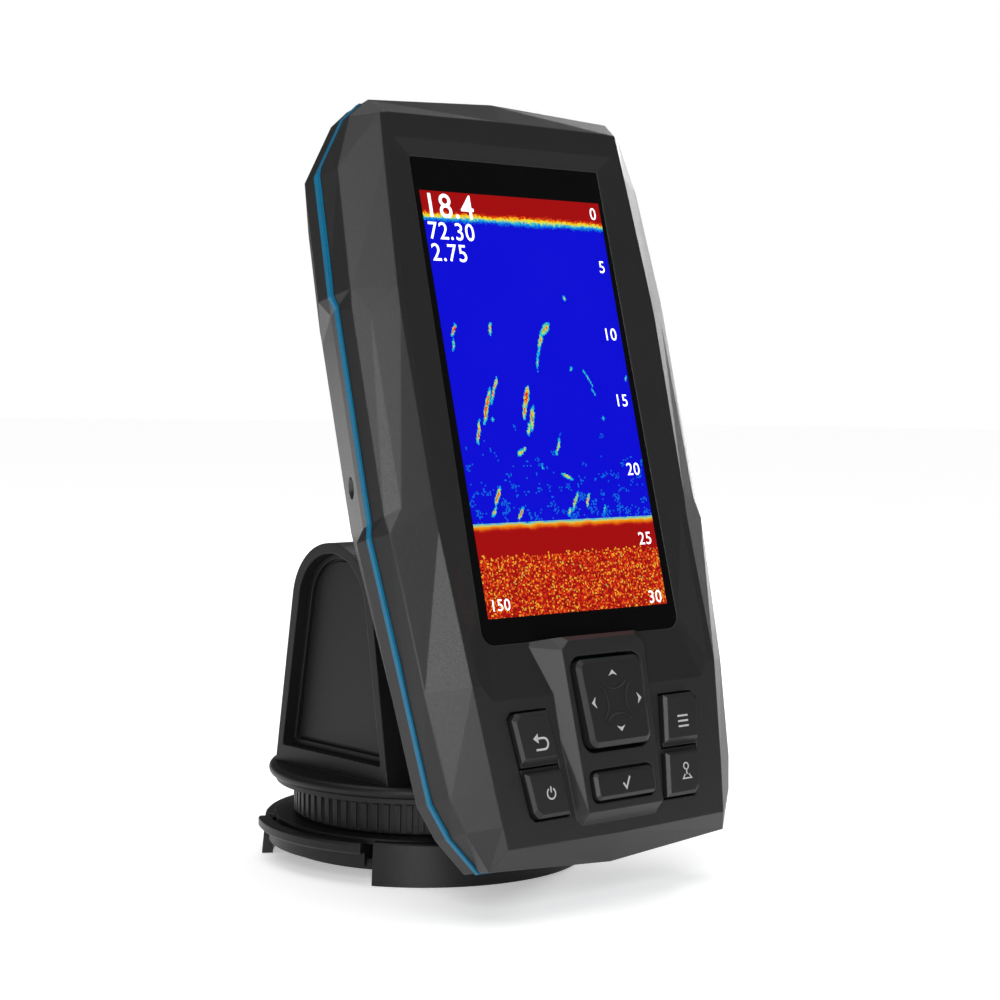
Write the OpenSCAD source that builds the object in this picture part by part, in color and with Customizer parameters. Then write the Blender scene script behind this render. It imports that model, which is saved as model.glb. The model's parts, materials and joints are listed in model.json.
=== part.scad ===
// Portable fish finder: a portrait display head on a tilting, swivelling base.
// Millimetres. Origin: the swivel axis on the surface the base stands on.
// +Z is up, -Y is the side the screen faces, and X is the tilt axis.

/* [Screen] */
// Width of the lit screen
screen_w = 53.8; // [50:0.2:54]
// Height of the lit screen
screen_h = 95; // [90:0.5:96]
// Thickness of the display window
lens_t = 1.6; // [1.2:0.1:1.8]

/* [Head] */
// Depth of the rear housing behind the band
rear_depth = 22.3; // [21:0.1:22.4]
// Wall thickness of both housings
wall = 2.2; // [1.8:0.1:2.4]
// Height of the coloured band between the housings
band_t = 1.1; // [0.8:0.1:1.2]
// How far the band stands proud of the housings
band_proud = 0.35; // [0.1:0.05:0.5]

/* [Keys] */
// Travel of each key
key_travel = 0.6; // [0.3:0.1:0.8]
// Gap round each key
key_gap = 0.6; // [0.5:0.05:0.8]
// Height of the four side keys above the face
key_rise = 1.5; // [1:0.1:2]

/* [Mount] */
// Height of the tilt axis above the ground
hinge_z = 60; // [58:0.5:64]
// Lean of the head at rest, in degrees
tilt_rest = 15; // [12:1:20]
// Half the distance over the outside of the arms
arm_outer = 28; // [26:0.5:29]
// Half the gap between the arms
arm_inner = 17; // [16:0.5:18]
// Radius of the arms round the tilt axis
arch_r = 15.2; // [14:0.1:16]
// Radius of the tilt bolt
bolt_r = 4; // [3:0.5:5]

/* [Base] */
// Radius of the base at its foot
base_r = 38.5; // [38:0.5:42]
// Radius of the swivel flange
flange_r = 36.9; // [34:0.1:37]
// Outer radius of the knurled ring
ring_r = 31; // [30:0.25:32]
// Ribs round the knurled ring
ring_ribs = 72; // [36:4:90]
// Travel of each release tab
tab_travel = 1.5; // [1:0.1:2]

/* [Hidden] */

eps = 0.01;
fine = 96;

// Colours
charcoal = [0.17, 0.17, 0.175];
dark = [0.11, 0.11, 0.115];
blue = [0.0, 0.42, 0.6];
steel = [0.72, 0.73, 0.75];
green = [0.05, 0.3, 0.16];
black = [0.03, 0.03, 0.035];

// ---- Head: local frame with x right, y up the screen, z out of the screen ----
// Tilt axis in the head's own frame
axis_y = -36;
axis_z = -52.5;

// Levels along the head's depth
z_face = 1.4;
chin_z = 3.1;
z_lens = 0.5;
z_band = -7.6;
z_joint = z_band - band_t;
z_waist = -12.6;
z_back = z_joint - rear_depth;

// Right half of the band outline, from the top centre round to the bottom centre
band_half = [
    [0, 70.6], [33, 69.2], [38, 65.4], [47.6, 51.8], [48.8, 25.1], [47.7, 22.3],
    [47.8, -24.5], [48.5, -27.5], [45.4, -61.3], [43.4, -84], [39.9, -91.6],
    [33.6, -99.6], [0, -101]
];

// The same outline at the waist, where the grips are deeper
function with_waist(points) =
    [for (i = [0:len(points) - 1]) i == 5 || i == 6 ? [points[i][0] - 1.6, points[i][1]] : points[i]];

// Right half of the crease where the sides meet the front facets
crease_half = [
    [0, 69.9, -1.4], [35.6, 68, -1.4], [40.4, 64.4, -2.6], [44.7, 52.9, -4],
    [46.5, 25.8, -3.8], [46.8, 21.4, -4], [46.9, -23.6, -4],
    [46.8, -27.5, -3.2], [44.6, -61.2, -2.9], [42, -83.6, -3.1],
    [39.6, -91, -2.6], [35.2, -99.8, -2.4], [0, -102.2, -3.4]
];

// The face rises from the lower grips to the chin, then falls slowly
rise_y = -28;
chin_y = -61.6;
chin_fall = 0.0446;

// Right half of the border of the face, which rises towards the keys
face_half = [
    [0, 64.8, z_face], [33.4, 64.5, z_face], [35.2, 64.3, z_face], [36, 54, z_face],
    [37.9, 24.9, z_face], [38.1, 20, z_face], [37.6, -22.5, z_face], [37.3, rise_y, z_face],
    [36.3, chin_y, chin_z], [33.9, -84, chin_z - 1], [33, -91, chin_z - 1.35],
    [32.4, -95.9, z_face + 0.1], [0, -96.3, z_face + 0.1]
];

// Inner corners of the grip recess, at the side facets
grip_top = [43.6, 20.2, -2];
grip_bottom = [43.8, -22.3, -1.7];

// Right half of the back face
back_half = [
    [0, 58], [25, 57.4], [29, 55.5], [34.5, 47], [35.5, 24], [35.4, 21],
    [35.4, -22], [35, -26], [33.4, -40], [31.6, -46], [29.4, -49.4], [25, -51.8], [0, -52.2]
];

function at_z(points, z) = [for (p = points) [p[0], p[1], z]];
function mirrored(points) =
    concat(points, [for (i = [len(points) - 2:-1:1]) [-points[i][0], points[i][1], points[i][2]]]);
function flat(points) =
    concat(points, [for (i = [len(points) - 2:-1:1]) [-points[i][0], points[i][1]]]);
function between(a, b, t) = [for (i = [0:len(a) - 1]) a[i] + (b[i] - a[i]) * t];
// The point list with its 5th and 6th points replaced by the grip's inner corners
function with_grip(points) =
    [for (i = [0:len(points) - 1]) i == 5 ? grip_top : i == 6 ? grip_bottom : points[i]];

facet_ring = with_grip(between(face_half, crease_half, 0.97));
band_ring = at_z(band_half, z_band);

// A cap of flat strips from side to side, for a mirrored ring that isn't all in one plane
function strips(n) = concat(
    [[0, 1, n - 1]],
    [for (k = [1:n / 2 - 2]) [k, k + 1, n - k - 1, n - k]],
    [[n / 2 - 1, n / 2, n / 2 + 1]]
);

// A closed skin through rings with the same number of points, front to back
module skin(rings, front = undef) {
    n = len(rings[0]);
    m = len(rings);
    polyhedron(
        points = [for (ring = rings) for (p = ring) p],
        faces = concat(
            front == undef ? [[for (i = [0:n - 1]) i]] : front,
            [[for (i = [0:n - 1]) (m - 1) * n + n - 1 - i]],
            [for (k = [0:m - 2]) for (i = [0:n - 1])
                [(k + 1) * n + i, k * n + (i + 1) % n, k * n + i]],
            [for (k = [0:m - 2]) for (i = [0:n - 1])
                [(k + 1) * n + i, (k + 1) * n + (i + 1) % n, k * n + (i + 1) % n]]
        )
    );
}

// Places the head's local frame in the part's frame
module in_head() {
    translate([0, 0, hinge_z]) rotate([90 - tilt_rest, 0, 0])
        translate([0, -axis_y, -axis_z]) children();
}

// A slab between two levels of the head
module slab(z0, z1) {
    translate([0, 0, z0]) linear_extrude(z1 - z0) children();
}

// A box from one corner to the other
module span(a, b) {
    translate(a) cube(b - a);
}

// A rectangle with true rounded corners, centred on x and y
module rounded(w, h, r, sides = fine) {
    square([w - 2 * r, h], center = true);
    square([w, h - 2 * r], center = true);
    for (x = [-1, 1], y = [-1, 1])
        translate([x * (w / 2 - r), y * (h / 2 - r)]) circle(r, $fn = sides);
}

// ---- Window ----
// Outline of the display window, grown by a margin
lens_top = 55;
lens_bottom = -53;
lens_top_w = 28;
lens_bottom_w = 29.2;
module lens_outline(grow = 0) {
    polygon([
        [-lens_top_w - grow, lens_top + grow], [-lens_bottom_w - grow, lens_bottom + 3],
        [-lens_bottom_w + 3, lens_bottom - grow], [lens_bottom_w - 3, lens_bottom - grow],
        [lens_bottom_w + grow, lens_bottom + 3], [lens_top_w + grow, lens_top + grow]
    ]);
    for (s = [-1, 1])
        translate([s * (lens_bottom_w - 3), lens_bottom + 3]) circle(3 + grow, $fn = fine);
}

// ---- Keys ----
island_top_y = -54;
island_bottom_y = -91.5;
dpad_y = -67.9;
dpad_up = 9.3;
dpad_down = 9.9;
dpad_top_w = 19.6;
dpad_bottom_w = 18.2;
dpad_corner = 2.2;
dpad_axis_z = -0.2;
check_y = -85.9;
check_w = 17.8;
check_h = 6;
// Side key blocks: inner and outer edges at their top and bottom
block_top = -68.2;
block_bottom = -90.6;
block_split = -79.8;
block_gap = 0.2;
block_corner = 1.3;
// Lower end of the key stems, a full travel above the mat
mat_top = -2.8;
stem_z = mat_top + key_travel + 0.1;
function block_in(y) = 17.3 + (y - block_top) * 0.123;
function block_out(y) = 27.8 + (y - block_top) * 0.132;
// Height of the side keys' tops, which slope down to the foot of the face
function block_z(y) = z_face + key_rise + 1.6 + (y - block_top) * 0.053;

// Ring of a side key on the right, grown by a margin, with its outer corners cut where asked
function block_ring(y0, y1, grow, low_cut, high_cut) = [
    [block_in(y0) - grow, y0 - grow],
    [block_out(y0) + grow - low_cut, y0 - grow], [block_out(y0) + grow, y0 - grow + low_cut],
    [block_out(y1) + grow, y1 + grow - high_cut], [block_out(y1) + grow - high_cut, y1 + grow],
    [block_in(y1) - grow, y1 + grow]
];

module dpad_outline(grow = 0) {
    hull() for (s = [-1, 1]) {
        translate([s * (dpad_top_w / 2 - dpad_corner), dpad_y + dpad_up - dpad_corner])
            circle(dpad_corner + grow, $fn = 32);
        translate([s * (dpad_bottom_w / 2 - dpad_corner), dpad_y - dpad_down + dpad_corner])
            circle(dpad_corner + grow, $fn = 32);
    }
}

module check_outline(grow = 0, sides = fine) {
    translate([0, check_y]) rounded(check_w + 2 * grow, check_h + 2 * grow, 1.2 + grow, sides);
}

// The raised keypad island, with sloped walls that sink into the face at its foot
module island() {
    hull() {
        translate([0, 0, -0.4]) linear_extrude(0.4) polygon([
            [-17.6, island_top_y], [-13.6, island_top_y + 4.6], [13.6, island_top_y + 4.6],
            [17.6, island_top_y], [13.2, island_bottom_y - 0.8], [-13.2, island_bottom_y - 0.8]
        ]);
        polyhedron(
            points = [
                [-12.2, -56, 5.7], [-10, -54.2, 5.7], [10, -54.2, 5.7], [12.2, -56, 5.7],
                [11, -91.2, 4.55], [-11, -91.2, 4.55],
                [-12.2, -56, 2], [-10, -54.2, 2], [10, -54.2, 2], [12.2, -56, 2],
                [11, -91.2, 2], [-11, -91.2, 2]
            ],
            faces = [
                [0, 1, 2, 3, 4, 5], [11, 10, 9, 8, 7, 6],
                [0, 6, 7, 1], [1, 7, 8, 2], [2, 8, 9, 3], [3, 9, 10, 4], [4, 10, 11, 5], [5, 11, 6, 0]
            ]
        );
        translate([-11, -93.6, z_face - 0.5]) cube([22, 0.5, 0.5]);
    }
}

// Centres of the housing screws and of the board's screws, right half
top_boss_y = 61.5;
boss_spots = [[40, 44], [41.5, -14], [38, -72], [0, top_boss_y], [0, -96.2]];
board_spots = [[34, 52], [34, -60]];

// Places of the housing screws: three pairs and two on the centre line
module at_bosses() {
    for (p = boss_spots, s = p[0] == 0 ? [1] : [-1, 1])
        translate([s * p[0], p[1], 0]) children();
}

module at_keypad_posts() {
    for (s = [-1, 1]) translate([s * 26.5, -62, 0]) children();
}

module at_board_posts() {
    for (p = board_spots, s = [-1, 1])
        translate([s * p[0], p[1], 0]) children();
}

// Upper end of the blind posts for the housing screws
boss_top = -2.8;

module front_housing() {
    inner = between(at_z(band_half, z_band), at_z(face_half, z_band), 0.2);
    color(charcoal) in_head() difference() {
        union() {
            difference() {
                union() {
                    difference() {
                        skin([mirrored(face_half), mirrored(facet_ring), mirrored(crease_half),
                            mirrored(at_z(band_half, z_band - 1))], strips(2 * len(face_half) - 2));
                        window_dish();
                    }
                    island();
                }
                // Hollow behind the face
                skin([
                    mirrored([for (p = inner) [p[0] * 0.82, p[1] * 0.9, -1.3]]),
                    mirrored([for (p = inner) [p[0] * 0.94, p[1] * 0.98, -4.6]]),
                    mirrored([for (p = inner) [p[0] * 0.965, p[1] * 0.98, z_band - 2]])
                ]);
                // Flat rim that meets the band
                slab(z_band - 3, z_band) square(300, center = true);
                // Hollow under the island
                span([-10.4, -91, -2], [10.4, -57.4, 2.6]);
            }
            // Ledge under the window
            difference() {
                slab(-1.75, -0.9) lens_outline(3.2);
                slab(-2, 0) square([screen_w + 1.2, screen_h + 1.2], center = true);
            }
            // Blind posts for the housing screws and the keypad screws
            at_bosses() translate([0, 0, z_band + 0.1])
                cylinder(r = 2.6, h = boss_top - z_band - 0.1, $fn = fine);
            // The hollow is deepest behind the top post, so that one runs on into the face
            translate([0, top_boss_y, boss_top - 1]) cylinder(r = 2.6, h = 3, $fn = fine);
            at_keypad_posts() translate([0, 0, -2.8]) cylinder(r = 2, h = 2, $fn = fine);
        }
        slab(z_lens - lens_t, 9) lens_outline(0.15);
        slab(-3, 0) square([screen_w + 1.2, screen_h + 1.2], center = true);
        difference() {
            slab(-3, 9) dpad_outline(key_gap + 0.3);
            // Arms that carry the pad's gimbal
            for (s = [-1, 1]) translate([s * 9, dpad_y, 0])
                span([-3.1, -2.2, -2.2], [3.1, 2.2, 1.4]);
        }
        translate([0, dpad_y, dpad_axis_z]) rotate([0, 90, 0])
            cylinder(r = 1.26, h = 17, center = true, $fn = fine);
        slab(-3, 9) check_outline(key_gap);
        for (s = [0, 1]) mirror([s, 0, 0]) {
            slab(-3, 9)
                polygon(block_ring(block_bottom, block_top, key_gap - 0.1, block_corner, block_corner));
            slab(-3, -1.3) polygon(block_ring(block_bottom, block_top, 1.1, 0.1, 0.1));
        }
        at_bosses() translate([0, 0, z_band]) cylinder(r = 1.1, h = boss_top - z_band - 0.4, $fn = fine);
        at_keypad_posts() translate([0, 0, -3]) cylinder(r = 0.8, h = 1.6, $fn = fine);
    }
}

// Rim of the window's dish, right half: it follows the face as that rises
dish_half = [
    [0, 59], [32.6, 59], [34.6, 56.5], [36.6, 20], [36, -25], [35, -52], [34.2, -61], [31.4, -65],
    [0, -65]
];
function face_z(y) =
    y > rise_y ? z_face :
    y > chin_y ? z_face + (chin_z - z_face) * (rise_y - y) / (rise_y - chin_y) :
    chin_z + (y - chin_y) * chin_fall;

// The dish slopes from the face down to the window
module window_dish() {
    rim = flat(dish_half);
    hull() {
        slab(z_lens, z_lens + 0.02) lens_outline(0.5);
        skin([[for (p = rim) [p[0], p[1], face_z(p[1]) + 3]], [for (p = rim) [p[0], p[1], face_z(p[1])]]]);
    }
}

module gasket_band() {
    color(blue) in_head() difference() {
        slab(z_joint, z_band) offset(delta = band_proud) polygon(flat(band_half));
        slab(z_joint - 1, z_band + 1) offset(delta = -wall) polygon(flat(band_half));
        at_bosses() translate([0, 0, z_joint - 1]) cylinder(r = 2.8, h = 4, $fn = fine);
    }
}

// The rear housing's outer shape, or its hollow where an inset is given
module rear_shell(inset) {
    side = [for (p = band_half) p * (1 - inset / 48)];
    waist = [for (p = with_waist(band_half)) p * (1 - inset / 48)];
    back = [for (p = back_half) p * (1 - inset / 36)];
    skin([
        mirrored(at_z(side, z_joint + (inset > 0 ? 1 : 0))),
        mirrored(at_z(waist, z_waist + inset / 2)),
        mirrored(at_z(back, z_back + inset))
    ]);
}

socket_x = 0;
socket_y = 30;
vent_x = 20;
vent_y = 30;

module rear_housing() {
    color(charcoal) in_head() difference() {
        union() {
            difference() {
                rear_shell(0);
                rear_shell(wall);
                // Stiffening grooves across the back
                for (x = [-26, 26])
                    span([x - 1.2, -30, z_back - 1], [x + 1.2, 12, z_back + 0.7]);
            }
            // Posts for the housing screws, each open at the back
            intersection() {
                at_bosses() translate([0, 0, z_back - 1])
                    cylinder(r = 3.6, h = z_joint - z_back + 1, $fn = fine);
                rear_shell(0);
            }
            // Seats for the board
            intersection() {
                at_board_posts() translate([0, 0, z_back]) cylinder(r = 3, h = -14 - z_back, $fn = fine);
                rear_shell(0);
            }
        }
        at_bosses() {
            translate([0, 0, z_back - 2]) cylinder(r = 2.4, h = -11 - z_back + 2, $fn = fine);
            translate([0, 0, z_back - 2]) cylinder(r = 1.4, h = 40, $fn = fine);
        }
        at_board_posts() translate([0, 0, -18]) cylinder(r = 0.9, h = 6, $fn = fine);
        translate([socket_x, socket_y, z_back - 1]) cylinder(r = 8.1, h = 5, $fn = fine);
        translate([vent_x, vent_y, z_back - 1]) cylinder(r = 2.6, h = 5, $fn = fine);
        // Holes for the cradle screws
        for (x = [-10, 10], y = [axis_y - 10, axis_y + 10])
            translate([x, y, z_back - 1]) cylinder(r = 1.7, h = 5, $fn = fine);
    }
}

module lens() {
    color(black) in_head() slab(z_lens - lens_t, z_lens) lens_outline(0);
}

module screen_gasket() {
    color(black) in_head() difference() {
        slab(-2.05, -1.75) lens_outline(2.6);
        slab(-3, 0) square([screen_w + 1.2, screen_h + 1.2], center = true);
    }
}

lcd_w = 59;
lcd_h = 103;
module lcd_panel() {
    color([0.25, 0.28, 0.32]) in_head() slab(-4.2, -2.1) square([lcd_w, lcd_h], center = true);
}

module screen_pads() {
    color(dark) in_head() for (x = [-24, 24], y = [-44, 33])
        translate([x, y, board_z + 1.6]) cylinder(r = 2.5, h = -8.2 - board_z - 1.6, $fn = fine);
}

module lcd_frame() {
    color(steel) in_head() difference() {
        slab(-8.2, -2.9) square([lcd_w + 2, lcd_h + 2], center = true);
        slab(-4.25, 0) square([lcd_w + 0.1, lcd_h + 0.1], center = true);
        // Cable slot at the foot
        span([-9, -lcd_h / 2 - 2, -9], [9, -lcd_h / 2 + 3, -4.6]);
    }
}

module display_flex() {
    color([0.75, 0.5, 0.15]) in_head() {
        span([-8, -lcd_h / 2 + 0.2, -12.4], [8, -lcd_h / 2 + 0.5, -4.6]);
        span([-8, -lcd_h / 2 + 0.5 - eps, -12.4], [8, -lcd_h / 2 + 6, -12.1]);
    }
}

module keypad_board() {
    color(green) in_head() difference() {
        slab(-5.6, -4.4) polygon([[-30.5, -57.5], [30.5, -57.5], [28.5, -93], [-28.5, -93]]);
        at_keypad_posts() translate([0, 0, -6]) cylinder(r = 1.1, h = 3, $fn = fine);
    }
}

module keypad_screws() {
    color(steel) in_head() at_keypad_posts() {
        translate([0, 0, -6.8]) cylinder(r = 1.7, h = 1.2, $fn = fine);
        translate([0, 0, -5.6 - eps]) cylinder(r = 0.8, h = 4, $fn = fine);
    }
}

// Centres of the key switches
switch_spots = [
    [0, -61.7], [0, -74.1], [-6.3, -67.9], [6.3, -67.9], [0, check_y],
    [-21.8, -73.2], [21.8, -73.2], [-20.6, -85], [20.6, -85]
];

module dome_switches() {
    color(steel) in_head() for (p = switch_spots)
        translate([p[0], p[1], -4.4]) rotate_extrude($fn = fine)
            polygon([[0, 0], [2.3, 0], [2.1, 0.25], [1.2, 0.45], [0, 0.5]]);
}

module keypad_mat() {
    color([0.2, 0.2, 0.21]) in_head() difference() {
        union() {
            slab(mat_top - 0.8, mat_top) polygon([[-30, -57.8], [30, -57.8], [28, -92.6], [-28, -92.6]]);
            for (p = switch_spots)
                translate([p[0], p[1], -3.8]) cylinder(r = 1.5, h = 0.5, $fn = fine);
        }
        at_keypad_posts() translate([0, 0, -6]) cylinder(r = 1.1, h = 4, $fn = fine);
    }
}

// A side key on the right: bevelled cap, low web at the split, retaining flange and stem.
// cap0 and cap1 are the ends of the cap; the web fills the rest of y0 to y1.
module side_key(y0, y1, cap0, cap1, low_cut, high_cut) {
    bevel = 0.7;
    foot = block_ring(cap0, cap1, 0, low_cut, high_cut);
    crown = block_ring(cap0 + bevel, cap1 - bevel, 0, low_cut, high_cut);
    in_head() {
        hull() skin([
            [for (p = crown) [p[0] + (p[0] > block_in(p[1]) + 3 ? -bevel : bevel), p[1], block_z(p[1])]],
            [for (p = foot) [p[0], p[1], block_z(p[1]) - bevel]],
            [for (p = foot) [p[0], p[1], -1.4]]
        ]);
        slab(-1.4, block_z(y0) - 1.2) polygon(block_ring(y0, y1, 0, low_cut, high_cut));
        slab(-1.9, -1.4 + eps) polygon([
            [block_in(y0) - 0.7, y0 - 0.1], [block_out(y0) + 0.7, y0 - 0.1],
            [block_out(y1) + 0.7, y1 + 0.1], [block_in(y1) - 0.7, y1 + 0.1]
        ]);
        translate([(block_in(y0) + block_out(y1)) / 2, (y0 + y1) / 2, stem_z])
            cylinder(r = 1.4, h = -1.8 - stem_z, $fn = fine);
    }
}

module upper_key() {
    side_key(block_split + block_gap, block_top, block_split + 1.1, block_top, 0.1, block_corner);
}

module lower_key() {
    side_key(block_bottom, block_split - block_gap, block_bottom, block_split - 1.1, block_corner, 0.1);
}

module back_key() {
    color(charcoal) mirror([1, 0, 0]) upper_key();
}

module power_key() {
    color(charcoal) mirror([1, 0, 0]) lower_key();
}

module menu_key() {
    color(charcoal) upper_key();
}

module mark_key() {
    color(charcoal) lower_key();
}

module check_key() {
    color(charcoal) in_head() {
        hull() {
            slab(2.2, 5.3) check_outline(0, 24);
            slab(5.8, 6) check_outline(-0.7, 24);
        }
        slab(1.4, 2.2) check_outline(key_gap + 0.4);
        slab(-1.6, 1.4) translate([0, check_y]) square([13, 4.6], center = true);
        slab(stem_z, -1.6) translate([0, check_y]) circle(1.6, $fn = fine);
    }
}

// The gimbal under the direction pad: rocks about x, and carries the cap's own axis
module dpad_pivot() {
    color(dark) in_head() translate([0, dpad_y, dpad_axis_z]) {
        difference() {
            rotate([0, 90, 0]) cylinder(r = 2.6, h = 6, center = true, $fn = fine);
            rotate([90, 0, 0]) cylinder(r = 1.25, h = 8, center = true, $fn = fine);
        }
        for (s = [-1, 1]) translate([s * 5.6, 0, 0])
            rotate([0, 90, 0]) cylinder(r = 1.2, h = 5.2, center = true, $fn = fine);
    }
}

module dpad_cap() {
    color(charcoal) in_head() {
        hull() {
            slab(4.2, 6.4) dpad_outline(0);
            slab(6.9, 7.1) dpad_outline(-1.1);
        }
        translate([0, dpad_y, dpad_axis_z]) {
            // Pin along the pad, held by two cheeks outside the gimbal block
            rotate([90, 0, 0]) cylinder(r = 1.2, h = 9.6, center = true, $fn = fine);
            for (s = [-1, 1]) translate([0, s * 4, 0])
                span([-1.7, -0.8, -1.7], [1.7, 0.8, 4.2 - dpad_axis_z + eps]);
        }
    }
}

board_z = -14;
module main_board() {
    color(green) in_head() difference() {
        slab(board_z, board_z + 1.6) polygon([
            [-37, 57], [37, 57], [38, 40], [37, -56], [33, -66], [-33, -66], [-37, -56], [-38, 40]
        ]);
        at_board_posts() translate([0, 0, board_z - 1]) cylinder(r = 1.3, h = 4, $fn = fine);
        at_bosses() translate([0, 0, board_z - 1]) cylinder(r = 4.6, h = 4, $fn = fine);
    }
}

module shield_can() {
    color(steel) in_head() difference() {
        span([-22, -10, board_z - 4.6], [6, 22, board_z]);
        span([-21.6, -9.6, board_z - 4.2], [5.6, 21.6, board_z + 1]);
    }
}

module gps_antenna() {
    color([0.85, 0.82, 0.72]) in_head() span([-9, 38, board_z + 1.6], [9, 54, board_z + 5]);
}

module beeper() {
    color(black) in_head() translate([22, -40, board_z - 5]) difference() {
        cylinder(r = 6, h = 5, $fn = fine);
        translate([0, 0, -1]) cylinder(r = 1, h = 2, $fn = fine);
    }
}

module board_connector() {
    color(black) in_head() span([-6, -64, board_z + 1.6], [6, -60, -5.6]);
}

module board_screws() {
    color(steel) in_head() at_board_posts() {
        translate([0, 0, board_z + 1.6]) cylinder(r = 2, h = 1.2, $fn = fine);
        translate([0, 0, -17.5]) cylinder(r = 0.9, h = 5.2, $fn = fine);
    }
}

module housing_screws() {
    color(steel) in_head() at_bosses() {
        translate([0, 0, -13]) cylinder(r = 2.2, h = 2, $fn = fine);
        translate([0, 0, -11 - eps]) cylinder(r = 1.1, h = boss_top + 10.4, $fn = fine);
    }
}

module pressure_vent() {
    color(dark) in_head() translate([vent_x, vent_y, z_back]) {
        translate([0, 0, -0.8]) cylinder(r = 4, h = 0.8, $fn = fine);
        cylinder(r = 2.5, h = 3.4, $fn = fine);
        translate([0, 0, 2.4]) cylinder(r = 3.6, h = 1, $fn = fine);
    }
}

// Bulkhead inlet for the power and transducer lead, with a wider mouth past its pins
mouth_r = 6.2;
mouth_depth = 3.2;
module connector_socket() {
    color(dark) in_head() translate([socket_x, socket_y, z_back]) difference() {
        union() {
            translate([0, 0, -1.8]) cylinder(r = 10.5, h = 1.8, $fn = fine);
            translate([0, 0, -7.5]) cylinder(r = 8, h = 19, $fn = fine);
        }
        translate([0, 0, -8]) cylinder(r = mouth_r, h = 8 - mouth_depth, $fn = fine);
        translate([0, 0, -8]) cylinder(r = 5.5, h = 16, $fn = fine);
        for (i = [0:3]) rotate(i * 90 + 45)
            translate([2.6, 0, 7]) cylinder(r = 0.5, h = 6, $fn = fine);
    }
}

module connector_pins() {
    color([0.85, 0.7, 0.3]) in_head() translate([socket_x, socket_y, z_back])
        for (i = [0:3]) rotate(i * 90 + 45)
            translate([2.6, 0, -2.8]) cylinder(r = 0.5, h = 15.5, $fn = fine);
}

module socket_seal() {
    color(black) in_head() translate([socket_x, socket_y, z_back + wall]) difference() {
        cylinder(r = 11, h = 0.8, $fn = fine);
        translate([0, 0, -1]) cylinder(r = 8.1, h = 3, $fn = fine);
    }
}

module socket_nut() {
    color(steel) in_head() translate([socket_x, socket_y, z_back + wall + 0.8]) difference() {
        cylinder(r = 11.5, h = 2.6, $fn = 6);
        translate([0, 0, -1]) cylinder(r = 8.05, h = 5, $fn = fine);
    }
}

// Knuckle screwed to the back of the head, between the bracket's arms
knuckle_r = 12;
knuckle_half = 13.6;
module mount_cradle() {
    color(dark) in_head() difference() {
        union() {
            span([-16, axis_y - 16, z_back - 4], [16, axis_y + 16, z_back]);
            span([-knuckle_half, axis_y - knuckle_r, axis_z],
                [knuckle_half, axis_y + knuckle_r, z_back - 3]);
            translate([0, axis_y, axis_z]) rotate([0, 90, 0])
                cylinder(r = knuckle_r, h = 2 * knuckle_half, center = true, $fn = fine);
        }
        translate([0, axis_y, axis_z]) rotate([0, 90, 0])
            cylinder(r = bolt_r + 0.06, h = 60, center = true, $fn = fine);
        for (x = [-10, 10], y = [axis_y - 10, axis_y + 10])
            translate([x, y, z_back - 5]) cylinder(r = 1.4, h = 6, $fn = fine);
    }
}

module cradle_screws() {
    color(steel) in_head() for (x = [-10, 10], y = [axis_y - 10, axis_y + 10]) {
        translate([x, y, z_back + wall]) cylinder(r = 2.7, h = 1.6, $fn = fine);
        translate([x, y, z_back - 3.6]) cylinder(r = 1.4, h = wall + 3.7, $fn = fine);
    }
}

// ---- Bracket ----
module along_tilt(x) {
    translate([x, 0, hinge_z]) rotate([0, 90, 0]) children();
}

bolt_seat = arm_inner + 2.6;
head_t = 2.6;
module tilt_bolt() {
    color(steel) {
        along_tilt(-bolt_seat) cylinder(r = bolt_r, h = 2 * bolt_seat + head_t, $fn = fine);
        along_tilt(-bolt_seat - head_t) cylinder(r = 6.5, h = head_t + eps, $fn = 6);
    }
}

module tilt_nut() {
    color(steel) difference() {
        along_tilt(bolt_seat) cylinder(r = 6.5, h = head_t, $fn = 6);
        along_tilt(bolt_seat - 1) cylinder(r = bolt_r, h = head_t + 2, $fn = fine);
    }
}

washer_t = 1.5;
module tilt_washers() {
    color([0.85, 0.85, 0.8]) for (s = [0, 1]) mirror([s, 0, 0]) difference() {
        along_tilt(arm_inner - washer_t) cylinder(r = 9, h = washer_t, $fn = fine);
        along_tilt(arm_inner - 3) cylinder(r = bolt_r + 0.1, h = 6, $fn = fine);
    }
}

spring_in = knuckle_half + 0.25;
module wave_spring() {
    color(steel) for (s = [0, 1]) mirror([s, 0, 0]) difference() {
        along_tilt(spring_in) cylinder(r = 8, h = arm_inner - washer_t - spring_in, $fn = fine);
        along_tilt(0) cylinder(r = bolt_r + 0.5, h = 30, $fn = fine);
    }
}

tower_top = hinge_z + arch_r;
flange_z = 19.2;
flange_top = 22;
flange_rim = 1.4;
tower_half = 21.5;

// Side view of the tower, from the flange to the arch, grown by a margin
module tower_profile(grow = 0) {
    hull() {
        translate([0, hinge_z]) circle(arch_r + grow, $fn = fine);
        translate([-tower_half - grow, flange_top - 1]) square([2 * (tower_half + grow), 1]);
    }
}

module extrude_x(x0, x1) {
    translate([x0, 0, 0]) rotate([90, 0, 90]) linear_extrude(x1 - x0) children();
}

hub_r = 11;
slot_z = 42;
recess_depth = 4.6;
cover_t = 1.1;
recess_rim = 2.4;

// Outline of the side recess and its cover, inside the tower's outline
module recess_profile(grow = 0) {
    hull() {
        translate([0, hinge_z]) circle(arch_r - recess_rim + grow, $fn = fine);
        translate([-tower_half + recess_rim + 0.4 - grow, flange_top + 4 - grow])
            square([2 * (tower_half - recess_rim - 0.4 + grow), 1]);
    }
}

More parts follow.
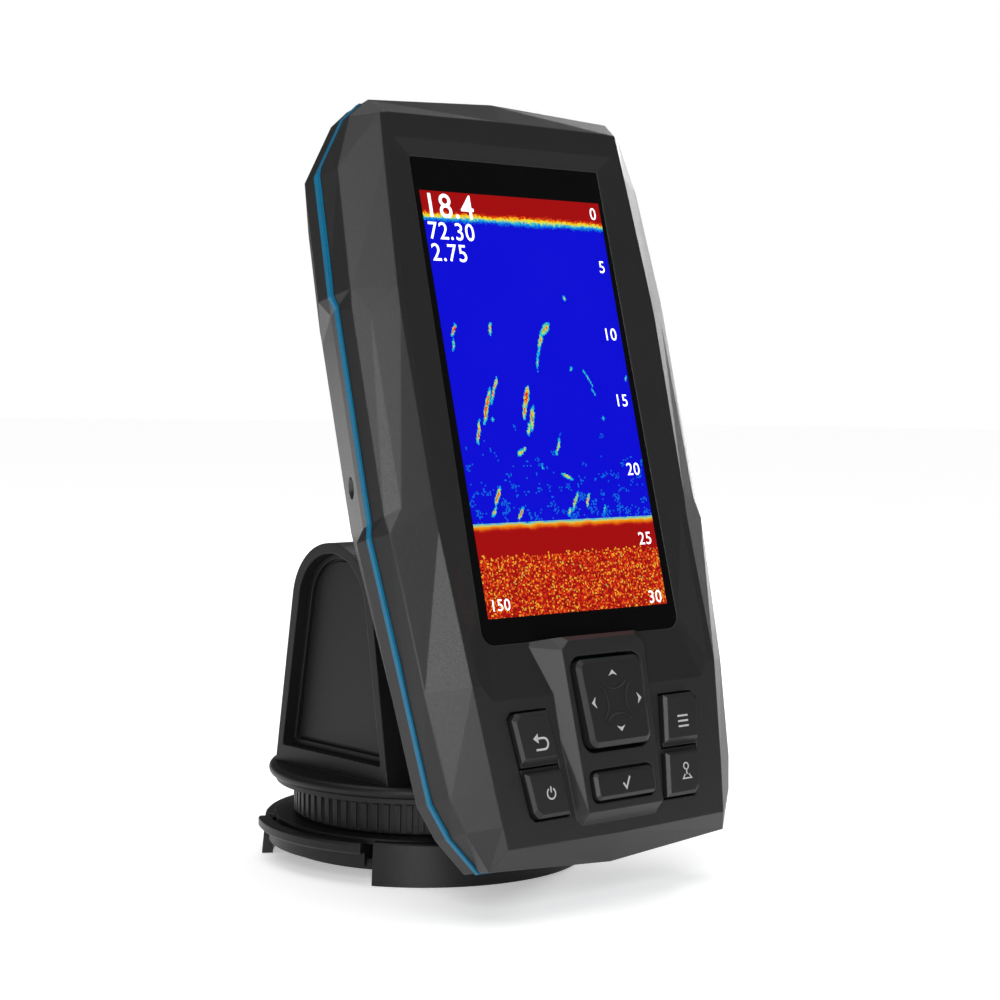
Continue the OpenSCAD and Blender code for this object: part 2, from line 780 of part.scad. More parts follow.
module tilt_bracket() {
    color(dark) difference() {
        union() {
            extrude_x(-arm_outer, arm_outer) tower_profile();
            // Flange with a rounded rim, and the step under it
            rotate_extrude($fn = fine) union() {
                translate([0, flange_z]) square([flange_r - flange_rim, flange_top - flange_z]);
                translate([flange_r - flange_rim, flange_z + flange_rim]) circle(flange_rim, $fn = fine);
            }
            translate([0, 0, 18]) cylinder(r = flange_r - flange_rim - 0.3, h = 2, $fn = fine);
        }
        // Slot for the knuckle
        extrude_x(-arm_inner, arm_inner) polygon([
            [-40, slot_z], [40, slot_z], [40, 90], [-40, 90]
        ]);
        // Hollow of the tower, open upwards between the arms
        translate([-arm_inner, -15, 24]) cube([2 * arm_inner, 30, 30]);
        // Recesses for the side covers
        for (s = [-1, 1]) extrude_x(s > 0 ? arm_outer - recess_depth : -arm_outer - 1,
                s > 0 ? arm_outer + 1 : -arm_outer + recess_depth) recess_profile();
        // Seats for the bolt head and the nut
        along_tilt(-bolt_seat - 4) cylinder(r = 6.6, h = 4, $fn = 6);
        along_tilt(bolt_seat) cylinder(r = 6.6, h = 4, $fn = 6);
        along_tilt(-bolt_seat - 1) cylinder(r = bolt_r + 0.02, h = 2 * bolt_seat + 2, $fn = fine);
        // Bore for the base's post
        translate([0, 0, 10]) cylinder(r = hub_r + 0.06, h = 20, $fn = fine);
    }
}

// Panel at the foot of the recess, framed by a bead and a thin groove
module side_cover() {
    bead = 1.4;
    face_x = arm_outer - recess_depth + cover_t;
    difference() {
        union() {
            extrude_x(arm_outer - recess_depth, face_x) recess_profile(-0.05);
            extrude_x(face_x - eps, face_x + 0.8) difference() {
                recess_profile(-0.05);
                recess_profile(-bead);
            }
        }
        extrude_x(face_x - 0.5, face_x + 1) difference() {
            recess_profile(-bead);
            recess_profile(-bead - 0.6);
        }
    }
}

module right_side_cover() {
    color(dark) side_cover();
}

module left_side_cover() {
    color(dark) mirror([1, 0, 0]) side_cover();
}

// ---- Swivel ----
post_top = 24.1;
module swivel_washer() {
    color(steel) difference() {
        translate([0, 0, post_top]) cylinder(r = 14, h = 1.6, $fn = fine);
        for (i = [0:2]) rotate(i * 120) translate([6.5, 0, post_top - 1])
            cylinder(r = 1.8, h = 4, $fn = fine);
    }
}

module swivel_screws() {
    color(steel) for (i = [0:2]) rotate(i * 120) translate([6.5, 0, 0]) {
        translate([0, 0, post_top + 1.6]) cylinder(r = 3, h = 1.8, $fn = fine);
        translate([0, 0, post_top - 9]) cylinder(r = 1.5, h = 10.6 + eps, $fn = fine);
    }
}

collar_r = 27;
module swivel_lock_ring() {
    color(dark) difference() {
        union() {
            translate([0, 0, 10.3]) cylinder(r = ring_r - 0.6, h = 7.2, $fn = fine);
            for (i = [0:ring_ribs - 1]) rotate(i * 360 / ring_ribs)
                translate([ring_r - 1.2, -0.65, 10.8]) cube([1.2, 1.3, 6.2]);
        }
        translate([0, 0, 10]) cylinder(r = collar_r + 0.06, h = 8, $fn = fine);
    }
}

// ---- Base ----
base_top = 10;
base_draft = 0.8;
skirt_t = 2.6;
floor_z = 2.5;
floor_t = 2.5;
foot_pcd = 36;
notch_half = 33.5;
tab_half = 30;
tab_proud = 1;
tab_inner = base_r - 6.9;
tab_lip = base_r - 3.1;
plate_edge = base_r - 3.2;
plate_z = 8.6;
cover_screw_r = base_r - 6.2;

module sector(r, half) {
    polygon([[0, 0], for (a = [-half:half / 6:half]) [r * cos(a), r * sin(a)]]);
}

module at_cover_screws() {
    for (i = [0:3]) rotate(i * 90 + 45) translate([cover_screw_r, 0, 0]) children();
}

// What is cut away for the two release tabs, outside a radius
module in_notches(z0, z1, inner_r) {
    for (s = [0, 180]) rotate(s) translate([0, 0, z0]) linear_extrude(z1 - z0) difference() {
        sector(60, notch_half);
        circle(inner_r, $fn = fine);
    }
}

// Drafted skirt with the stepped top that the lock ring sits in
module base_cover() {
    top_r = base_r - base_draft;
    color(dark) difference() {
        union() {
            rotate_extrude($fn = fine) polygon([
                [base_r - skirt_t, 0], [base_r, 0], [top_r, base_top - 0.8],
                [top_r - 0.4, base_top - 0.4], [plate_edge + 0.4, base_top - 0.4],
                [plate_edge, base_top], [collar_r + 0.4, base_top],
                [collar_r + 0.4, plate_z], [base_r - skirt_t, plate_z]
            ]);
            at_cover_screws() translate([0, 0, floor_z + floor_t])
                cylinder(r = 2.6, h = plate_z - floor_z - floor_t + eps, $fn = fine);
        }
        in_notches(-1, base_top + 1, plate_edge);
        at_cover_screws() translate([0, 0, 2]) cylinder(r = 1.1, h = 6, $fn = fine);
    }
}

module cover_screws() {
    color(steel) at_cover_screws() {
        translate([0, 0, floor_z + 0.2]) cylinder(r = 2.2, h = 1.2, $fn = fine);
        translate([0, 0, floor_z + 1.4 - eps]) cylinder(r = 1.1, h = 4, $fn = fine);
    }
}

// Raised floor with the collar for the lock ring and the swivel post on a central foot
module base_plate() {
    color(dark) difference() {
        union() {
            translate([0, 0, floor_z]) cylinder(r = base_r - skirt_t - 0.1, h = floor_t, $fn = fine);
            difference() {
                translate([0, 0, floor_z]) cylinder(r = collar_r, h = 17.9 - floor_z, $fn = fine);
                translate([0, 0, floor_z + floor_t]) cylinder(r = collar_r - 3, h = 20, $fn = fine);
            }
            cylinder(r = hub_r - 1, h = floor_z + eps, $fn = fine);
            translate([0, 0, floor_z]) cylinder(r = hub_r, h = post_top - floor_z, $fn = fine);
        }
        in_notches(0, base_top, tab_lip - tab_travel - 0.3);
        at_cover_screws() {
            translate([0, 0, floor_z - 1]) cylinder(r = 2.4, h = 2.4, $fn = fine);
            translate([0, 0, floor_z - 1]) cylinder(r = 1.4, h = 6, $fn = fine);
        }
        // Mounting holes through the floor
        for (i = [0:3]) rotate(i * 90 + 45)
            translate([foot_pcd / 2, 0, floor_z - 1]) cylinder(r = 2.2, h = 6, $fn = fine);
        for (i = [0:2]) rotate(i * 120)
            translate([6.5, 0, post_top - 9]) cylinder(r = 1.5, h = 12, $fn = fine);
    }
}

// Release tab on the right: a proud grip band over a recessed skirt
module release_tab() {
    band_r = base_r + tab_proud;
    intersection() {
        rotate_extrude($fn = fine) polygon([
            [tab_inner, 5.2], [tab_lip, 5.2], [tab_lip, 3.8], [base_r - 1.5, 3.8],
            [base_r - 1.5, 7], [band_r - 0.4, 7],
            [band_r, 7.4], [band_r, 9.1], [band_r - 0.4, 9.5],
            [band_r - 2.6, 9.5], [band_r - 2.6, 8.3], [tab_inner, 8.3]
        ]);
        linear_extrude(20) sector(60, tab_half);
    }
}

module right_release_tab() {
    color(dark) release_tab();
}

module left_release_tab() {
    color(dark) mirror([1, 0, 0]) release_tab();
}

// A coil spring along +x from x0 to x1: wire radius, coil radius and turns
function coil_ring(x, a, coil, wire) = [for (i = [0:5])
    let (w = i * 60, r = coil + wire * cos(w)) [x + wire * sin(w), r * cos(a), r * sin(a)]];
module coil(x0, x1, coil, wire, turns) {
    steps = turns * 14;
    rings = [for (k = [0:steps]) coil_ring(x0 + (x1 - x0) * k / steps, k * 360 / 14, coil, wire)];
    skin(rings);
}

module tab_spring() {
    wire = 0.3;
    translate([0, 0, 6.8]) coil(collar_r + wire + 0.1, tab_inner - wire - 0.1, 1.25, wire, 4);
}

module right_tab_spring() {
    color(steel) tab_spring();
}

module left_tab_spring() {
    color(steel) mirror([1, 0, 0]) tab_spring();
}

front_housing();
gasket_band();
rear_housing();
lens();
screen_gasket();
lcd_panel();
lcd_frame();
screen_pads();
display_flex();
keypad_mat();
keypad_board();
keypad_screws();
dome_switches();
dpad_pivot();
dpad_cap();
check_key();
back_key();
power_key();
menu_key();
mark_key();
main_board();
shield_can();
gps_antenna();
beeper();
board_connector();
board_screws();
housing_screws();
pressure_vent();
connector_socket();
connector_pins();
socket_seal();
socket_nut();
mount_cradle();
cradle_screws();
tilt_bolt();
tilt_nut();
tilt_washers();
wave_spring();
tilt_bracket();
left_side_cover();
right_side_cover();
swivel_washer();
swivel_screws();
swivel_lock_ring();
base_plate();
base_cover();
left_release_tab();
right_release_tab();
left_tab_spring();
right_tab_spring();
cover_screws();
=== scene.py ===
"""Looks for the portable fish finder: a portrait display head on a tilting, swivelling base.

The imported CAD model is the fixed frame. This script gives every node a procedural material, adds
the markings printed on the keys and the numerals on the display, and sets up the studio.
Lengths are metres; the local helpers of the head take millimetres on the head's own axes.
"""
import json
import math

import bmesh
import bpy
from mathutils import Matrix, Vector


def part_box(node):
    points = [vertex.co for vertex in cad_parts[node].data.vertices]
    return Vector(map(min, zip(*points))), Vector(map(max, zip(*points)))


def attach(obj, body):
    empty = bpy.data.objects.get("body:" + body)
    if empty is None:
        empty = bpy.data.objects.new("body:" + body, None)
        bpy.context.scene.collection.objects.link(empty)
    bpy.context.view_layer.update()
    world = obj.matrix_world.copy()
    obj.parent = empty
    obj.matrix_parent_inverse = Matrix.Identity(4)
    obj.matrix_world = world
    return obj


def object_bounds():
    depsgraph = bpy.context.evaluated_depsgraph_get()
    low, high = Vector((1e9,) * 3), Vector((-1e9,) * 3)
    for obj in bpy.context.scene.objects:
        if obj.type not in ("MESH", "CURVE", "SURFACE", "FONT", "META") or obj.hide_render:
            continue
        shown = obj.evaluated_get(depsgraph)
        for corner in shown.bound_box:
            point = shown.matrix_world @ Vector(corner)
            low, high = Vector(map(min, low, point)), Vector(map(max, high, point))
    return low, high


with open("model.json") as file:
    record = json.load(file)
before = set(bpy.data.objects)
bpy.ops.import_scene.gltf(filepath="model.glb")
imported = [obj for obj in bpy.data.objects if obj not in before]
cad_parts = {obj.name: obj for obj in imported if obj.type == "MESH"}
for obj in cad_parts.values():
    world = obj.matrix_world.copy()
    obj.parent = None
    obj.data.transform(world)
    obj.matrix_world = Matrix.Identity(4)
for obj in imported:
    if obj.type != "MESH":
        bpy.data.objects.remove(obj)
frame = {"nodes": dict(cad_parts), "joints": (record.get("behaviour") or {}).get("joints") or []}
cad_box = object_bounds()
MM = 0.001

# ---- The head's own axes: right across the screen, up the screen, and out of it ----
key_press = next(j for j in frame["joints"] if j["name"] == "check_press")
OUT = -Vector(key_press["axis"]).normalized()
RIGHT = Vector((1, 0, 0))
UP = OUT.cross(RIGHT)
PANEL_DEPTH = 3.15 * MM  # from the head's zero plane back to the middle of the LCD
panel_low, panel_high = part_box("lcd_panel")
HEAD_ORIGIN = (panel_low + panel_high) / 2 + OUT * PANEL_DEPTH

# Lit area of the display and where the window's surface is
SCREEN_W, SCREEN_H = 53.8, 95.0
WINDOW_Z = 0.5


def on_head(x, y, z):
    """Matrix of a spot on the head, from millimetres right, up and out."""
    place = HEAD_ORIGIN + (RIGHT * x + UP * y + OUT * z) * MM
    return Matrix.Translation(place) @ Matrix((RIGHT, UP, OUT)).transposed().to_4x4()


# ---- Shader helpers ----
def add(tree, kind, inputs=None, **settings):
    """A new shader node; an input is given a value, or a socket to link from."""
    node = tree.nodes.new("ShaderNode" + kind)
    for key, value in settings.items():
        setattr(node, key, value)
    for key, value in (inputs or {}).items():
        if isinstance(value, bpy.types.NodeSocket):
            tree.links.new(value, node.inputs[key])
        else:
            node.inputs[key].default_value = value
    return node


def maths(tree, operation, a, b=0.0, clamp=False):
    return add(tree, "Math", {0: a, 1: b}, operation=operation, use_clamp=clamp).outputs[0]


def remap(tree, value, low, high, to_low=0.0, to_high=1.0):
    inputs = {"Value": value, "From Min": low, "From Max": high, "To Min": to_low, "To Max": to_high}
    return add(tree, "MapRange", inputs).outputs["Result"]


def mix(tree, share, a, b):
    """Colour a where share is 0 and b where it is 1."""
    node = add(tree, "Mix", {"Factor": share}, data_type="RGBA", clamp_factor=True)
    for socket, value in zip([s for s in node.inputs if s.type == "RGBA"], (a, b)):
        if isinstance(value, bpy.types.NodeSocket):
            tree.links.new(value, socket)
        else:
            socket.default_value = (*value, 1)
    return next(s for s in node.outputs if s.type == "RGBA")


def ramp(tree, value, stops, interpolation="LINEAR"):
    node = add(tree, "ValToRGB", {"Fac": value})
    node.color_ramp.interpolation = interpolation
    elements = node.color_ramp.elements
    while len(elements) < len(stops):
        elements.new(0.5)
    for element, (position, colour) in zip(elements, stops):
        element.position = position
        element.color = (*colour, 1)
    return node.outputs["Color"]


def blank(name):
    material = bpy.data.materials.new(name)
    material.use_nodes = True
    tree = material.node_tree
    return material, tree, next(n for n in tree.nodes if n.type == "BSDF_PRINCIPLED")


def object_place(tree):
    return add(tree, "TexCoord").outputs["Object"]


def noise(tree, place, size, detail=2.0, rough=0.5):
    """Noise whose features are about this many metres across."""
    inputs = {"Vector": place, "Scale": 1 / size, "Detail": detail, "Roughness": rough}
    return add(tree, "TexNoise", inputs).outputs[0]


def moulded(name, colour, roughness, grain=0.5, depth=0.05, specular=0.4, edge=0.3, edge_sheen=1.0):
    """Moulded plastic: spark-eroded grain, faint flow marks, edges a little glossier, and a painted
    highlight that lightens the colour along the edges.
    Grain, depth and the rounding of the edges are millimetres."""
    material, tree, shader = blank(name)
    place = object_place(tree)
    fine = noise(tree, place, grain * MM, 3.0, 0.6)
    flow = noise(tree, place, 0.03, 2.0)
    rounded = add(tree, "Bevel", {"Radius": edge * MM}, samples=4).outputs["Normal"]
    wide = add(tree, "Bevel", {"Radius": 1.6 * edge * MM}, samples=4).outputs["Normal"]
    surface = add(tree, "NewGeometry").outputs["True Normal"]
    turn = add(tree, "VectorMath", {0: wide, 1: surface}, operation="DOT_PRODUCT").outputs["Value"]
    # Edge mask where the surface turns: it lightens the colour there as a painted highlight, and lowers the
    # roughness a little.
    rim = maths(tree, "MULTIPLY", remap(tree, turn, 0.97, 0.72), remap(tree, flow, 0.3, 0.65, 0.5, 1.0))
    tone = mix(tree, remap(tree, fine, 0.3, 0.7), [c * 0.86 for c in colour], [c * 1.14 for c in colour])
    tone = mix(tree, remap(tree, flow, 0.35, 0.65, 0.0, 0.5), tone, [c * 1.18 for c in colour])
    # Painted highlight colour for the edges, lighter than the plastic by the given strength.
    highlight_colour = [c + 0.022 * edge_sheen for c in colour]
    shader.inputs["Specular IOR Level"].default_value = specular
    highlighted_tone = mix(tree, maths(tree, "MULTIPLY", rim, 0.55), tone, highlight_colour)
    tree.links.new(highlighted_tone, shader.inputs["Base Color"])
    gloss = remap(tree, fine, 0.25, 0.75, roughness - 0.05, roughness + 0.07)
    polished = maths(tree, "SUBTRACT", gloss, maths(tree, "MULTIPLY", rim, 0.1))
    tree.links.new(polished, shader.inputs["Roughness"])
    bump = add(tree, "Bump", {"Height": fine, "Strength": 0.5, "Distance": depth * MM, "Normal": rounded})
    tree.links.new(bump.outputs["Normal"], shader.inputs["Normal"])
    return material


def metal(name, colour, roughness, brushed=(1, 1, 6)):
    """Plated metal with fine drawn marks."""
    material, tree, shader = blank(name)
    along = add(tree, "Mapping", {"Vector": object_place(tree), "Scale": brushed}).outputs["Vector"]
    marks = noise(tree, along, 0.4 * MM, 3.0, 0.7)
    shader.inputs["Metallic"].default_value = 1
    dull = [c * 0.8 for c in colour]
    tree.links.new(mix(tree, remap(tree, marks, 0.3, 0.7), dull, colour), shader.inputs["Base Color"])
    dulled = remap(tree, marks, 0.3, 0.7, roughness - 0.06, roughness + 0.1)
    tree.links.new(dulled, shader.inputs["Roughness"])
    rounded = add(tree, "Bevel", {"Radius": 0.15 * MM}, samples=4).outputs["Normal"]
    bump = add(tree, "Bump", {"Height": marks, "Strength": 0.25, "Distance": 0.02 * MM, "Normal": rounded})
    tree.links.new(bump.outputs["Normal"], shader.inputs["Normal"])
    return material


# ---- The sonar picture ----
# Each echo: across and down the screen as shares, half its length and half its width in
# millimetres, its lean from upright in degrees, and how strong it is.
ECHOES = [
    (0.060, 0.330, 1.6, 0.45, 25, 1.3), (0.045, 0.365, 1.6, 0.35, 20, 0.7),
    (0.255, 0.325, 1.8, 0.40, 15, 0.9), (0.560, 0.322, 2.2, 0.90, 45, 0.9),
    (0.520, 0.355, 3.4, 0.55, 20, 0.75), (0.490, 0.400, 2.8, 0.40, 12, 0.5),
    (0.700, 0.245, 0.7, 0.50, 0, 0.55), (0.235, 0.458, 2.2, 0.45, 30, 0.9),
    (0.170, 0.510, 4.4, 0.60, 22, 1.45), (0.105, 0.570, 3.0, 0.50, 15, 1.1),
    (0.215, 0.480, 3.0, 0.45, 25, 0.8), (0.395, 0.487, 2.6, 0.70, 18, 1.7),
    (0.370, 0.520, 2.2, 0.60, 15, 1.3), (0.405, 0.540, 3.0, 0.60, 18, 1.2),
    (0.375, 0.565, 1.6, 0.50, 10, 0.8), (0.755, 0.440, 3.0, 0.28, -28, 0.5),
    (0.780, 0.475, 1.2, 0.25, -20, 0.4), (0.670, 0.420, 0.8, 0.50, 20, 0.45),
    (0.985, 0.440, 0.8, 0.40, 10, 0.6), (0.810, 0.540, 0.7, 0.45, 0, 0.5),
    (0.190, 0.540, 0.7, 0.45, 10, 0.5), (0.525, 0.608, 2.6, 0.40, 25, 0.65),
    (0.310, 0.620, 1.2, 0.60, 60, 1.0), (0.335, 0.612, 0.9, 0.40, 40, 0.6),
    (0.545, 0.680, 2.0, 0.45, -65, 0.75), (0.150, 0.720, 2.4, 0.55, 30, 1.2),
    (0.120, 0.755, 1.4, 0.40, 25, 0.8), (0.570, 0.740, 2.6, 0.45, 30, 0.9),
    (0.530, 0.765, 1.2, 0.40, 20, 0.7), (0.640, 0.738, 1.9, 0.40, 25, 0.9),
    (0.260, 0.762, 1.7, 0.45, 35, 1.1), (0.730, 0.760, 1.2, 0.35, 20, 0.6),
    (0.420, 0.655, 0.8, 0.40, 0, 0.4),
]
WATER = (0.001, 0.0015, 0.66)
DEEP_RED = (0.36, 0.0015, 0.0015)
HEAT = [
    (0.0, (0.0, 0.05, 0.75)), (0.18, (0.0, 0.42, 0.75)), (0.36, (0.05, 0.62, 0.35)),
    (0.55, (0.65, 0.75, 0.05)), (0.75, (0.95, 0.3, 0.0)), (1.0, (0.75, 0.02, 0.0)),
]
PIXEL = 0.34  # millimetres; the coarse speckle of the sonar picture
# Where the picture changes, as shares of the way down the screen
SURFACE_FADE, SURFACE_END, BED_TOP, BED_RED, TAIL_TOP = 0.050, 0.078, 0.782, 0.802, 0.868


def sonar_window():
    """The bonded display window: glossy black border round the lit sonar picture."""
    material, tree, shader = blank("display_window")
    place = object_place(tree)

    def along(axis):
        offset = -HEAD_ORIGIN.dot(axis) / MM
        dot = add(tree, "VectorMath", {0: place, 1: axis / MM}, operation="DOT_PRODUCT").outputs["Value"]
        return maths(tree, "ADD", dot, offset)

    x, y = along(RIGHT), along(UP)
    across = maths(tree, "ADD", x, SCREEN_W / 2)
    down = maths(tree, "SUBTRACT", SCREEN_H / 2, y)
    flat = add(tree, "CombineXYZ", {"X": across, "Y": down}).outputs[0]
    cell = add(tree, "VectorMath", {0: flat, 1: (PIXEL,) * 3}, operation="SNAP").outputs[0]
    speck = add(tree, "TexWhiteNoise", {"Vector": cell}).outputs["Value"]
    drift = add(tree, "TexNoise", {"Vector": cell, "Scale": 0.35, "Detail": 3.0}).outputs[0]
    v = maths(tree, "DIVIDE", add(tree, "SeparateXYZ", {0: cell}).outputs["Y"], SCREEN_H)

    # Echoes: stretched spots, hot at the core, broken up by the speckle
    wobble = maths(tree, "MULTIPLY", maths(tree, "SUBTRACT", drift, 0.5), 1.6)
    sideways = add(tree, "CombineXYZ", {"X": wobble}).outputs[0]
    bent = add(tree, "VectorMath", {0: cell, 1: sideways}).outputs[0]
    heat = 0.0
    for u_centre, v_centre, length, width, lean, strength in ECHOES:
        spot = add(tree, "Mapping", {
            "Vector": bent, "Location": (u_centre * SCREEN_W, v_centre * SCREEN_H, 0),
            "Rotation": (0, 0, math.radians(lean)), "Scale": (width, length, 1)}, vector_type="TEXTURE")
        far = add(tree, "VectorMath", {0: spot.outputs[0]}, operation="LENGTH").outputs["Value"]
        glow = maths(tree, "MULTIPLY", maths(tree, "SUBTRACT", 1.15, far, True), strength)
        heat = maths(tree, "MAXIMUM", glow, heat)
    heat = maths(tree, "MULTIPLY", heat, remap(tree, speck, 0, 1, 0.45, 1.25))

    # Water with faint clutter that thickens towards the bottom
    clutter = remap(tree, maths(tree, "MULTIPLY", drift, v), 0.28, 0.55)
    lit = maths(tree, "GREATER_THAN", maths(tree, "MULTIPLY", speck, clutter), 0.36)
    water = mix(tree, maths(tree, "MULTIPLY", lit, 0.45), WATER, (0.0, 0.3, 0.8))
    water = mix(tree, maths(tree, "GREATER_THAN", heat, 0.12), water, ramp(tree, heat, HEAT))

    # Surface clutter at the top, the bed's wavy edge, its hard red echo and its grainy tail
    ripple = maths(tree, "MULTIPLY", maths(tree, "SUBTRACT", drift, 0.5), 0.014)
    edge_v = maths(tree, "ADD", v, maths(tree, "ADD", ripple, maths(tree, "MULTIPLY", speck, 0.006)))
    surface = ramp(tree, remap(tree, edge_v, SURFACE_FADE, SURFACE_END), [
        (0.0, DEEP_RED), (0.16, (0.8, 0.05, 0.0)), (0.3, (0.95, 0.65, 0.02)), (0.42, (0.75, 0.8, 0.05)),
        (0.52, (0.05, 0.6, 0.5)), (0.64, (0.0, 0.25, 0.8)), (0.85, WATER)])
    picture = mix(tree, maths(tree, "GREATER_THAN", v, SURFACE_END - 0.002), surface, water)
    bed_v = maths(tree, "ADD", v, maths(tree, "MULTIPLY", ripple, 0.9))
    bed = ramp(tree, remap(tree, bed_v, BED_TOP, BED_RED), [
        (0.0, (0.0, 0.35, 0.8)), (0.2, (0.4, 0.7, 0.2)), (0.4, (0.95, 0.3, 0.0)), (0.8, (0.5, 0.01, 0.003)),
        (1.0, DEEP_RED)])
    picture = mix(tree, maths(tree, "GREATER_THAN", bed_v, BED_TOP), picture, bed)
    mottle = maths(tree, "ADD", maths(tree, "MULTIPLY", speck, 0.85), maths(tree, "MULTIPLY", drift, 0.15))
    grain = ramp(tree, mottle, [
        (0.0, (0.28, 0.002, 0.002)), (0.34, (0.45, 0.006, 0.003)), (0.56, (0.68, 0.03, 0.004)),
        (0.72, (0.8, 0.14, 0.01)), (0.85, (0.9, 0.45, 0.03)), (0.92, (0.35, 0.5, 0.1)),
        (0.965, (0.2, 0.5, 0.5))],
        "CONSTANT")
    tail = maths(tree, "ADD", bed_v, maths(tree, "MULTIPLY", maths(tree, "SUBTRACT", speck, 0.5), 0.03))
    picture = mix(tree, maths(tree, "GREATER_THAN", tail, TAIL_TOP), picture, grain)

    inside = maths(tree, "MULTIPLY", maths(tree, "LESS_THAN", maths(tree, "ABSOLUTE", x), SCREEN_W / 2),
                   maths(tree, "LESS_THAN", maths(tree, "ABSOLUTE", y), SCREEN_H / 2))
    tree.links.new(mix(tree, inside, (0, 0, 0), picture), shader.inputs["Emission Color"])
    shader.inputs["Emission Strength"].default_value = 1.0
    smudge = noise(tree, place, 0.02, 3.0)
    glass = mix(tree, smudge, (0.0015, 0.0015, 0.0017), (0.003, 0.003, 0.0033))
    tree.links.new(glass, shader.inputs["Base Color"])
    tree.links.new(remap(tree, smudge, 0.3, 0.7, 0.08, 0.14), shader.inputs["Roughness"])
    shader.inputs["Specular IOR Level"].default_value = 0.16
    return material


# ---- Materials of the CAD nodes ----
HOUSING = (0.0125, 0.0125, 0.0129)
MOUNT = (0.006, 0.006, 0.0062)
housing = moulded("housing", HOUSING, 0.4, grain=0.4, depth=0.04, specular=0.4, edge=0.45)
keycap = moulded("keycap", (0.0105, 0.0105, 0.0108), 0.4, grain=0.35, depth=0.03, specular=0.38, edge=0.3)
mount = moulded("mount_plastic", MOUNT, 0.42, grain=0.5, depth=0.05, specular=0.28, edge=0.4)
band = moulded("band", (0.0, 0.115, 0.22), 0.45, grain=0.4, depth=0.01, specular=0.4, edge=0.15, edge_sheen=0.3)
rubber = moulded("rubber", (0.014, 0.014, 0.014), 0.7, grain=0.3, depth=0.04, specular=0.2, edge=0.2,
                 edge_sheen=0.2)
nylon = moulded("nylon", (0.62, 0.6, 0.52), 0.5, grain=0.6, depth=0.02, specular=0.4, edge=0.2)
board = moulded("board", (0.01, 0.09, 0.035), 0.35, grain=0.8, depth=0.03, specular=0.5, edge=0.1)
flex = moulded("flex", (0.42, 0.19, 0.04), 0.35, grain=0.6, depth=0.01, specular=0.5, edge=0.1)
ceramic = moulded("ceramic", (0.62, 0.58, 0.45), 0.45, grain=0.3, depth=0.02, specular=0.4, edge=0.3)
steel = metal("steel", (0.62, 0.63, 0.65), 0.32)
frame_metal = metal("frame_metal", (0.5, 0.51, 0.53), 0.4, brushed=(6, 1, 1))
brass = metal("brass", (0.75, 0.55, 0.22), 0.28)
window = sonar_window()

FINISHES = {
    housing: ["front_housing", "rear_housing"],
    keycap: ["dpad_cap", "check_key", "back_key", "power_key", "menu_key", "mark_key"],
    mount: ["mount_cradle", "tilt_bracket", "left_side_cover", "right_side_cover", "swivel_lock_ring",
            "base_plate", "base_cover", "left_release_tab", "right_release_tab", "dpad_pivot",
            "connector_socket", "pressure_vent"],
    band: ["gasket_band"],
    window: ["lens"],
    rubber: ["screen_gasket", "screen_pads", "keypad_mat", "socket_seal", "beeper"],
    nylon: ["tilt_washers"],
    board: ["keypad_board", "main_board"],
    flex: ["display_flex"],
    ceramic: ["gps_antenna"],
    frame_metal: ["lcd_frame", "shield_can"],
    brass: ["connector_pins"],
}
finish_of = {node: material for material, nodes in FINISHES.items() for node in nodes}
for name, node in frame["nodes"].items():
    node.data.materials.clear()
    node.data.materials.append(finish_of.get(name, steel))


# ---- Printed markings ----
def printed(name, colour, glow=0.0):
    """Pad-printed ink: a slightly uneven film."""
    material, tree, shader = blank(name)
    film = noise(tree, object_place(tree), 0.25 * MM, 3.0)
    ink = mix(tree, remap(tree, film, 0.35, 0.7), [c * 0.82 for c in colour], colour)
    tree.links.new(ink, shader.inputs["Base Color"])
    tree.links.new(remap(tree, film, 0.3, 0.7, 0.4, 0.6), shader.inputs["Roughness"])
    if glow:
        tree.links.new(ink, shader.inputs["Emission Color"])
        shader.inputs["Emission Strength"].default_value = glow
    return material


ink = printed("key_ink", (0.46, 0.46, 0.47))
lit_white = printed("lit_numeral", (0.85, 0.88, 0.95), glow=0.9)
INK_T = 0.04  # millimetres


def make_piece(name, mesh, body, material):
    piece = bpy.data.objects.new(name, mesh)
    bpy.context.scene.collection.objects.link(piece)
    mesh.materials.append(material)
    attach(piece, body)
    return piece


def stroke(points, width):
    """Outline of a line of this width through the points, with mitred corners."""
    path = [Vector(p) for p in points]
    sides = []
    for i, p in enumerate(path):
        before = (p - path[i - 1]).normalized() if i else None
        after = (path[i + 1] - p).normalized() if i + 1 < len(path) else None
        aim = ((before or after) + (after or before)).normalized()
        reach = width / 2 / max(0.4, aim.dot(after or before))
        sides.append(Vector((-aim.y, aim.x)) * reach)
    left = [p + s for p, s in zip(path, sides)]
    right = [p - s for p, s in zip(path, sides)]
    return [tuple(p) for p in left + right[::-1]]


def arc(x, y, radius, start, end, steps=16):
    turns = [math.radians(start + (end - start) * i / steps) for i in range(steps + 1)]
    return [(x + radius * math.cos(t), y + radius * math.sin(t)) for t in turns]


